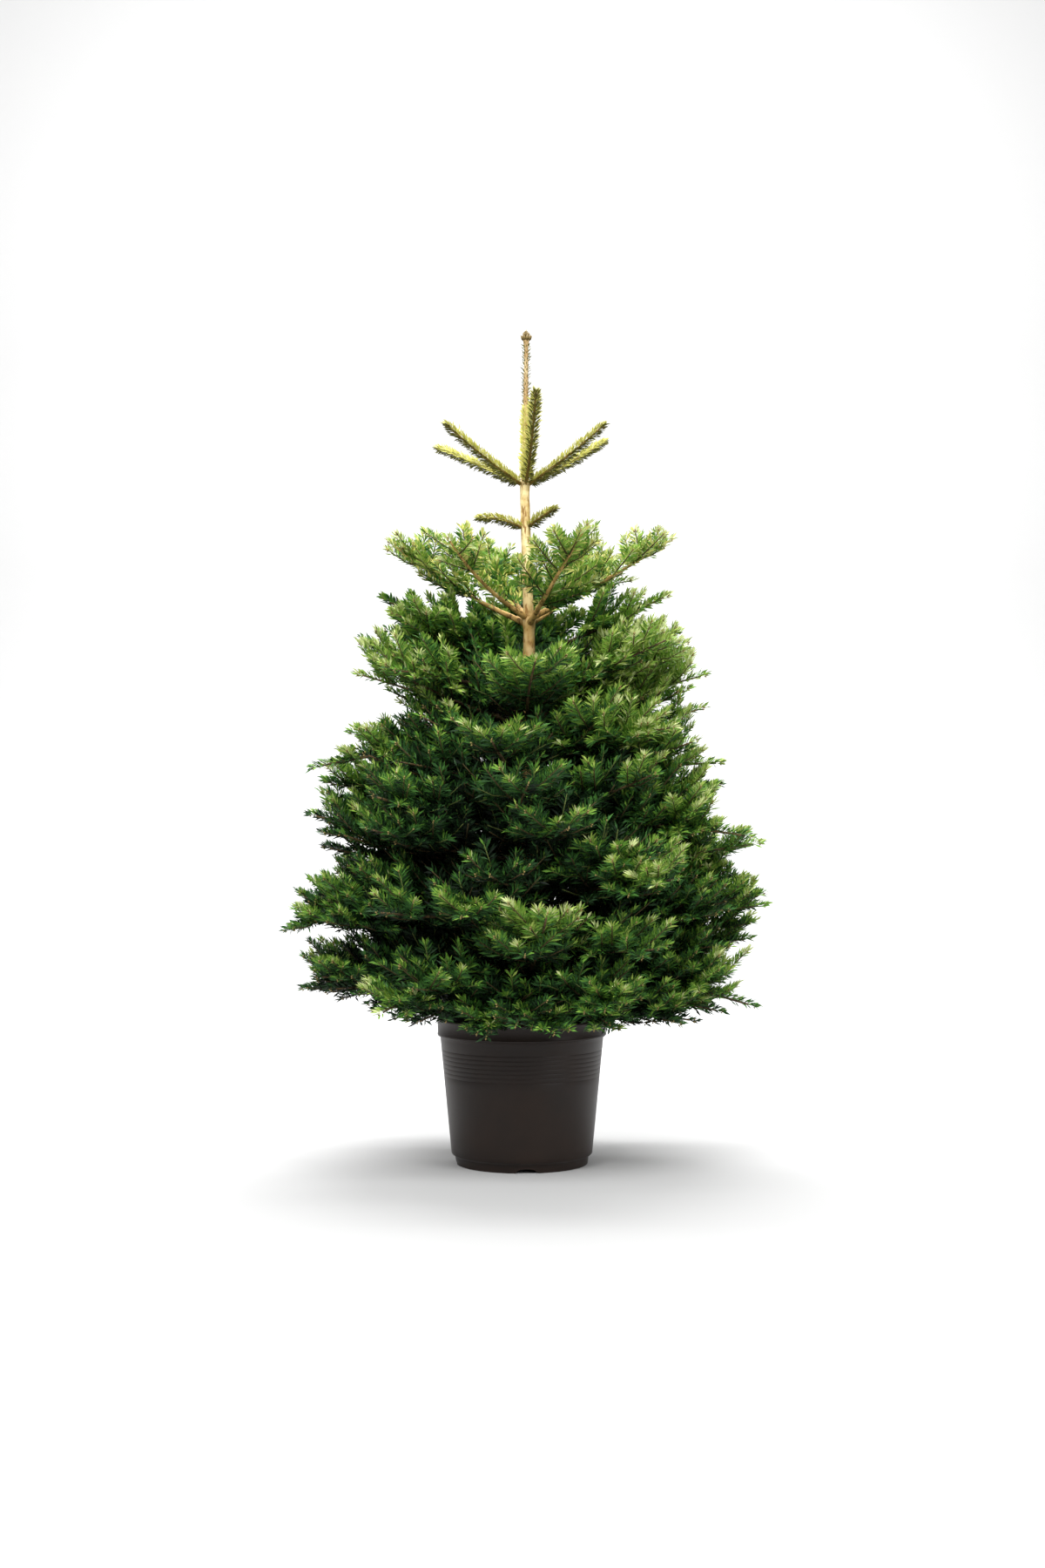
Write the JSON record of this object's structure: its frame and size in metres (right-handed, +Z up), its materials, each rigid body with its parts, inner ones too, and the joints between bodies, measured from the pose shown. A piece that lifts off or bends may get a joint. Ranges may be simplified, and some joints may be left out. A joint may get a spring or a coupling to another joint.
{
  "type": "potted cilician fir",
  "caption": "Young fir with a straight trunk, a bare leader and tiered boughs of flat needle sprays, in a round nursery pot.",
  "frame": {"origin": "middle of the pot's underside, on its central pad", "axes": "+Z up along the trunk, -Y towards the side of the crown that the picture shows, +X to its right"},
  "size_m": [0.7556, 0.6718, 1.33],
  "materials": {
    "pot": "satin dark taupe plastic",
    "soil": "matt dark compost",
    "bark": "pale tan young bark",
    "wood": "brown twig bark",
    "fresh": "olive-yellow needles",
    "bright": "bright green needles",
    "deep": "deep green needles"
  },
  "bodies": {
    "root": {"pot": "pot", "soil": "soil", "trunk": "bark", "top_shoot_left": "fresh", "top_shoot_back_left": "fresh", "top_shoot_front": "fresh", "top_shoot_right": "fresh", "top_shoot_back_right": "fresh", "twig_left": "fresh", "twig_right": "fresh", "bough_2_left": "wood", "bough_2_front_left": "wood", "bough_2_front_right": "wood", "bough_2_right": "wood", "bough_2_back_right": "wood", "bough_2_back_left": "wood", "bough_5_front_left": "wood", "bough_8_front": "wood", "foliage_2_left": "bright", "foliage_2_front_left": "bright", "foliage_2_front_right": "bright", "foliage_2_right": "bright", "foliage_2_back_right": "bright", "foliage_2_back_left": "bright", "foliage_3_left": "bright", "foliage_3_right": "bright", "foliage_3_back": "bright", "foliage_4_left": "bright", "foliage_4_front_left": "bright", "foliage_4_front": "bright", "foliage_4_front_right": "bright", "foliage_4_right": "bright", "foliage_4_back": "bright", "foliage_5_left": "deep", "foliage_5_front_left": "deep", "foliage_5_front": "deep", "foliage_5_front_right": "deep", "foliage_5_right": "deep", "foliage_5_back": "deep", "foliage_6_left": "deep", "foliage_6_front_left": "deep", "foliage_6_front": "deep", "foliage_6_right": "deep", "foliage_6_back_right": "deep", "foliage_6_back_left": "deep", "foliage_7_left": "deep", "foliage_7_front_left": "deep", "foliage_7_front": "deep", "foliage_7_front_right": "deep", "foliage_7_right": "deep", "foliage_7_back": "deep", "foliage_8_left": "deep", "foliage_8_front_left": "deep", "foliage_8_front": "deep", "foliage_8_right": "deep", "foliage_8_back_right": "deep", "foliage_8_back_left": "deep", "foliage_9_front_left": "deep", "foliage_9_front_right": "deep", "foliage_9_back": "deep"}
  },
  "joints": []
}
